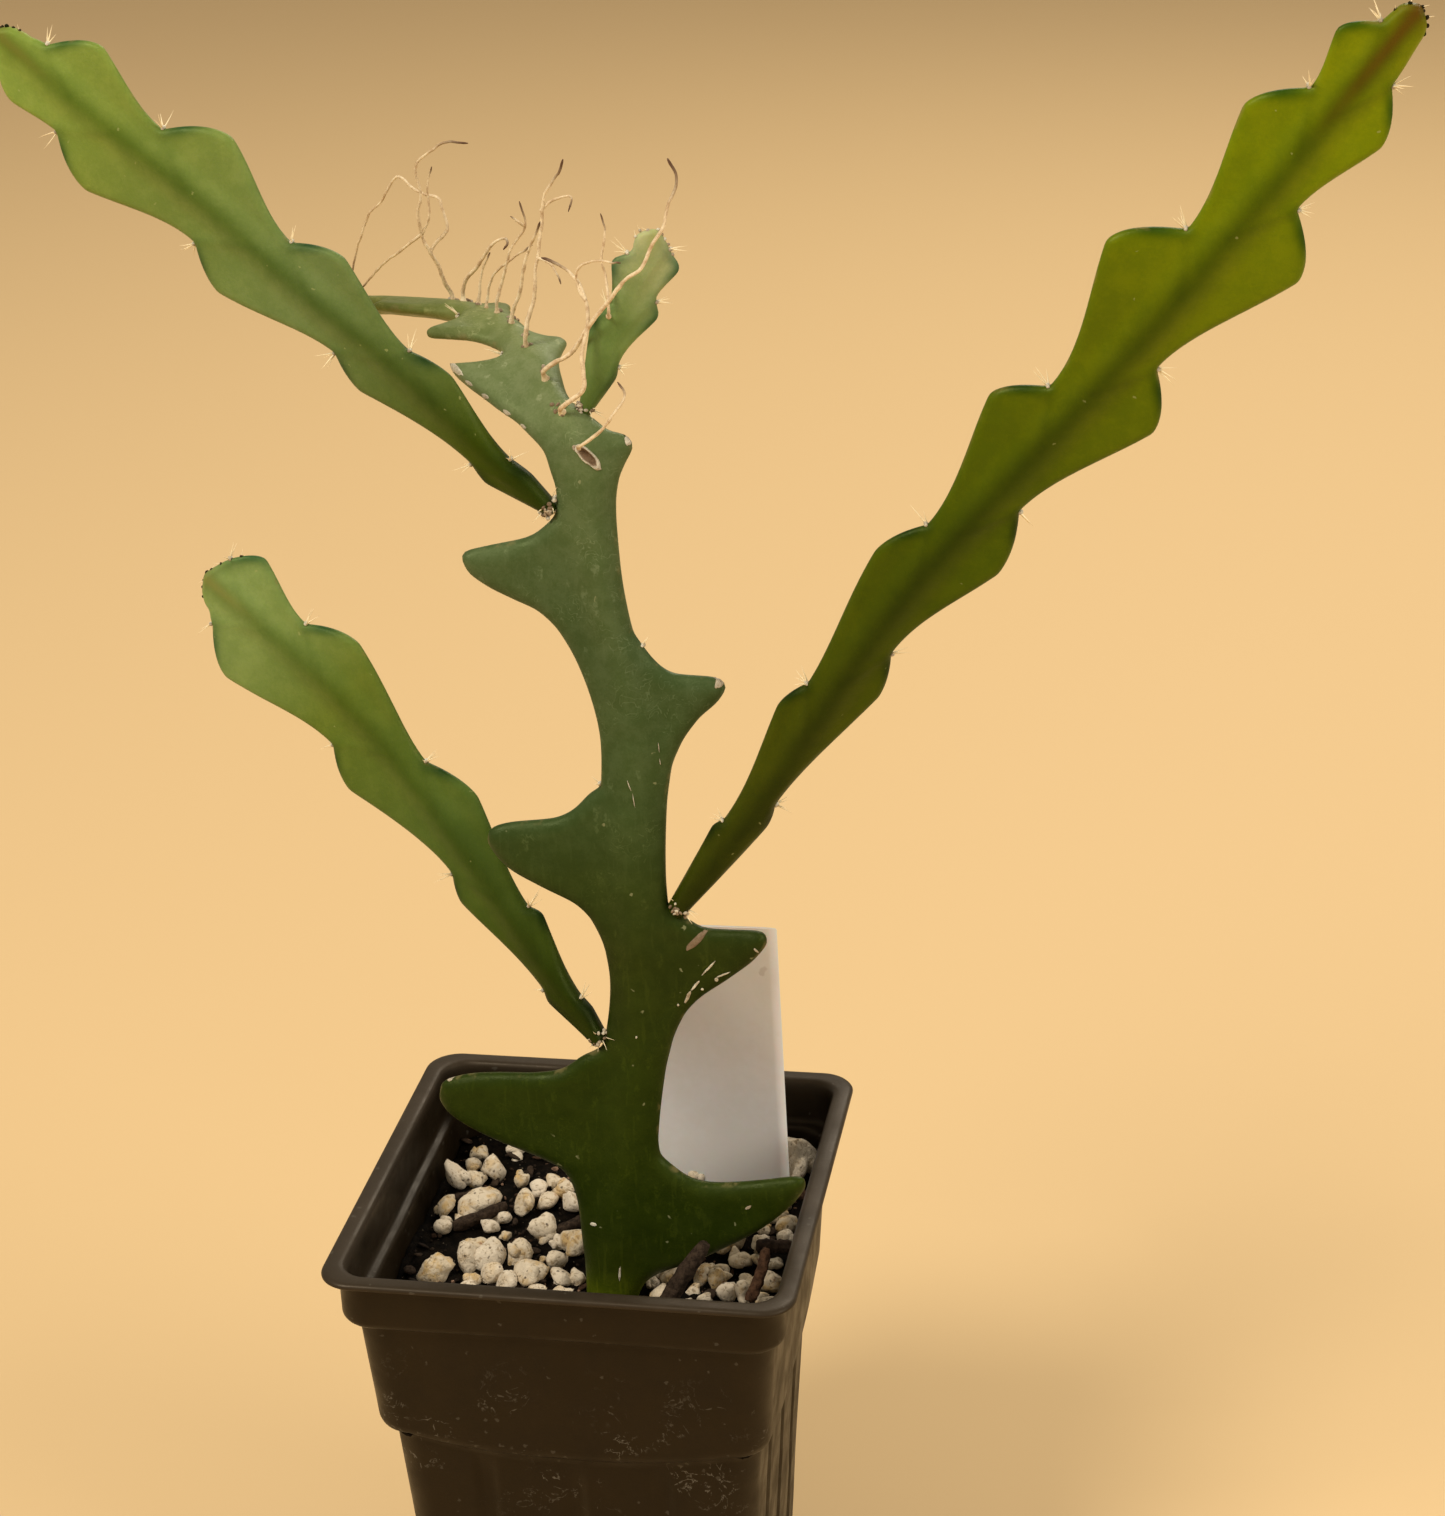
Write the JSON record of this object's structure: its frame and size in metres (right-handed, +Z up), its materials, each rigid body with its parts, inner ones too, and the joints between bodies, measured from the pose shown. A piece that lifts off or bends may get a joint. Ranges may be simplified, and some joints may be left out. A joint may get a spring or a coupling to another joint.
{
  "type": "potted fishbone cactus",
  "caption": "Square nursery pot filled with potting mix, with a flat zigzag-lobed cactus stem, younger leafy shoots, aerial roots and a plain plant label.",
  "frame": {"origin": "centre of the pot's underside, on the surface that it stands on", "axes": "+Z up along the pot, +X to the right and +Y away from the front, square to the pot's sides"},
  "size_m": [0.266, 0.1008, 0.3802],
  "materials": {
    "pot_plastic": "near-black recycled plastic with a dusty rim and pale scuffs",
    "potting_mix": "dark damp bark and peat with cream perlite grains",
    "label_plastic": "plain satin white sheet, slightly translucent",
    "old_stem": "waxy dark blue-green skin with pale scars and corky flecks",
    "young_stem": "waxy yellow-green skin with a darker midrib",
    "root": "dry cream to tan skin with dark brown tips"
  },
  "bodies": {
    "root": {"pot": "pot_plastic", "soil": "potting_mix", "plant_label": "label_plastic", "main_stem": "old_stem", "right_shoot": "young_stem", "left_high_shoot": "young_stem", "left_low_shoot": "young_stem", "small_shoot": "young_stem", "aerial_roots_left": "root", "aerial_roots_curled": "root", "aerial_roots_middle": "root", "aerial_roots_right": "root", "aerial_root_front": "root", "aerial_root_tip": "root"}
  },
  "joints": []
}
